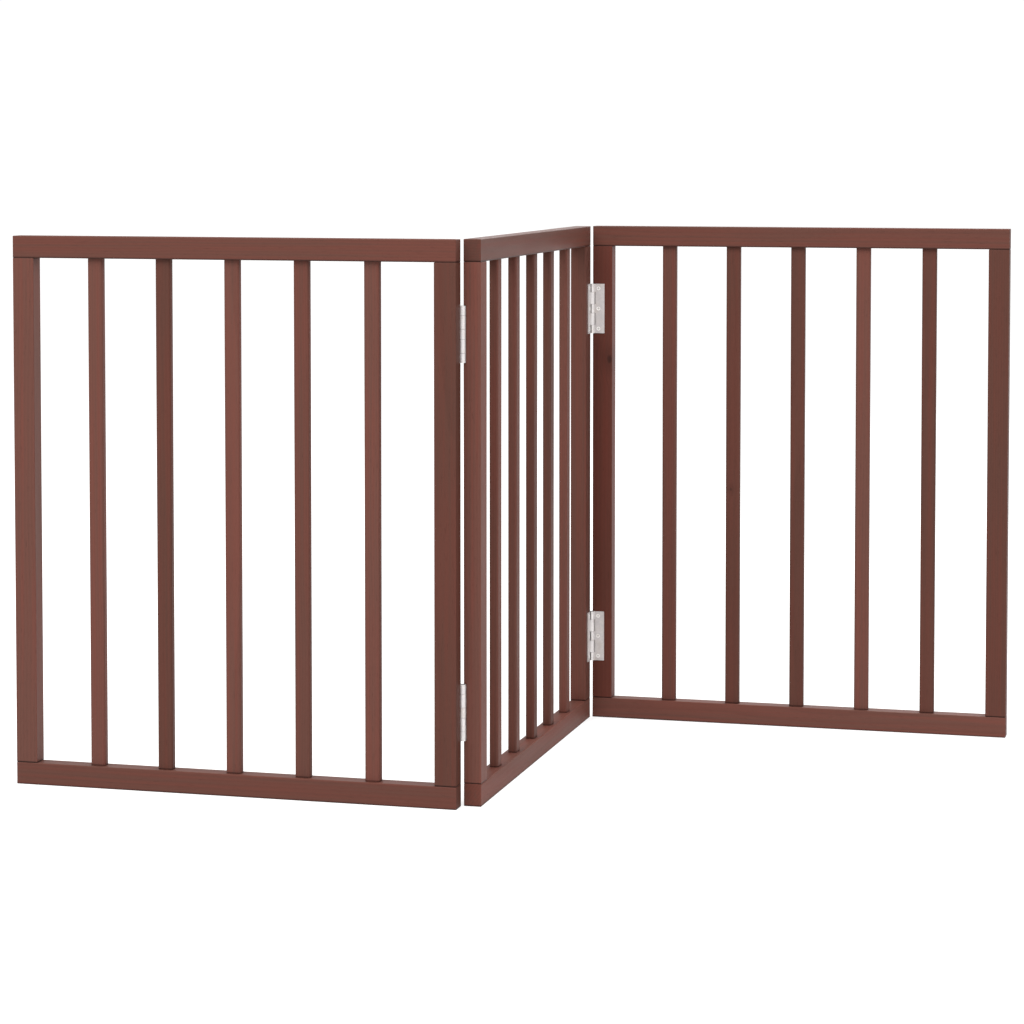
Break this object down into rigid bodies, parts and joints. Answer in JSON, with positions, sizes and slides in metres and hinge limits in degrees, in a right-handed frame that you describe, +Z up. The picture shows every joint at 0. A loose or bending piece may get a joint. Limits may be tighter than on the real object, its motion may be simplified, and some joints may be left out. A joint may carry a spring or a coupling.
{
  "type": "folding pet gate",
  "caption": "Free-standing folding pet gate: barred wooden panels joined by steel butt hinges, standing in a zigzag and folding flat.",
  "frame": {"origin": "centre of the footprint at floor level, which is the middle of the middle panel's bottom rail", "axes": "+X along the two end panels, away from the left panel; +Y along the middle panel, from the left joint to the right joint; +Z up"},
  "size_m": [1.0236, 0.5426, 0.6],
  "materials": {
    "stained_rail": "brown stain under satin varnish, grain along the rail",
    "stained_post": "brown stain under satin varnish, grain along the post",
    "stained_baluster": "brown stain under satin varnish, grain along the bar, tone varies from bar to bar",
    "dowel_wood": "bare beech",
    "hinge_steel": "bright zinc plating over rolled sheet",
    "pin_steel": "bright zinc plating over drawn rod",
    "screw_steel": "bright zinc plating, cross recess"
  },
  "bodies": {
    "middle_panel": {"middle_top_rail": "stained_rail", "middle_bottom_rail": "stained_rail", "middle_left_hinge_post": "stained_post", "middle_right_hinge_post": "stained_post", "middle_baluster_1": "stained_baluster", "middle_baluster_2": "stained_baluster", "middle_baluster_3": "stained_baluster", "middle_baluster_4": "stained_baluster", "middle_baluster_5": "stained_baluster", "middle_top_dowels": "dowel_wood", "middle_bottom_dowels": "dowel_wood", "left_lower_hinge_middle_leaf": "hinge_steel", "left_lower_hinge_middle_screws": "screw_steel", "left_upper_hinge_middle_leaf": "hinge_steel", "left_upper_hinge_middle_screws": "screw_steel", "right_lower_hinge_middle_leaf": "hinge_steel", "right_lower_hinge_middle_screws": "screw_steel", "right_upper_hinge_middle_leaf": "hinge_steel", "right_upper_hinge_middle_screws": "screw_steel"},
    "left_panel": {"left_top_rail": "stained_rail", "left_bottom_rail": "stained_rail", "left_hinge_post": "stained_post", "left_outer_post": "stained_post", "left_baluster_1": "stained_baluster", "left_baluster_2": "stained_baluster", "left_baluster_3": "stained_baluster", "left_baluster_4": "stained_baluster", "left_baluster_5": "stained_baluster", "left_top_dowels": "dowel_wood", "left_bottom_dowels": "dowel_wood", "left_lower_hinge_end_leaf": "hinge_steel", "left_lower_hinge_pin": "pin_steel", "left_lower_hinge_end_screws": "screw_steel", "left_upper_hinge_end_leaf": "hinge_steel", "left_upper_hinge_pin": "pin_steel", "left_upper_hinge_end_screws": "screw_steel"},
    "right_panel": {"right_top_rail": "stained_rail", "right_bottom_rail": "stained_rail", "right_hinge_post": "stained_post", "right_outer_post": "stained_post", "right_baluster_1": "stained_baluster", "right_baluster_2": "stained_baluster", "right_baluster_3": "stained_baluster", "right_baluster_4": "stained_baluster", "right_baluster_5": "stained_baluster", "right_top_dowels": "dowel_wood", "right_bottom_dowels": "dowel_wood", "right_lower_hinge_end_leaf": "hinge_steel", "right_lower_hinge_pin": "pin_steel", "right_lower_hinge_end_screws": "screw_steel", "right_upper_hinge_end_leaf": "hinge_steel", "right_upper_hinge_pin": "pin_steel", "right_upper_hinge_end_screws": "screw_steel"}
  },
  "joints": [
    {"name": "left_fold", "type": "hinge", "parent": "middle_panel", "child": "left_panel", "pos_m": [-0.0106, -0.25116, 0.3], "axis": [0, 0, 1], "range_deg": [-90, 95]},
    {"name": "right_fold", "type": "hinge", "parent": "middle_panel", "child": "right_panel", "pos_m": [0.0106, 0.25116, 0.3], "axis": [0, 0, 1], "range_deg": [-90, 95]}
  ]
}
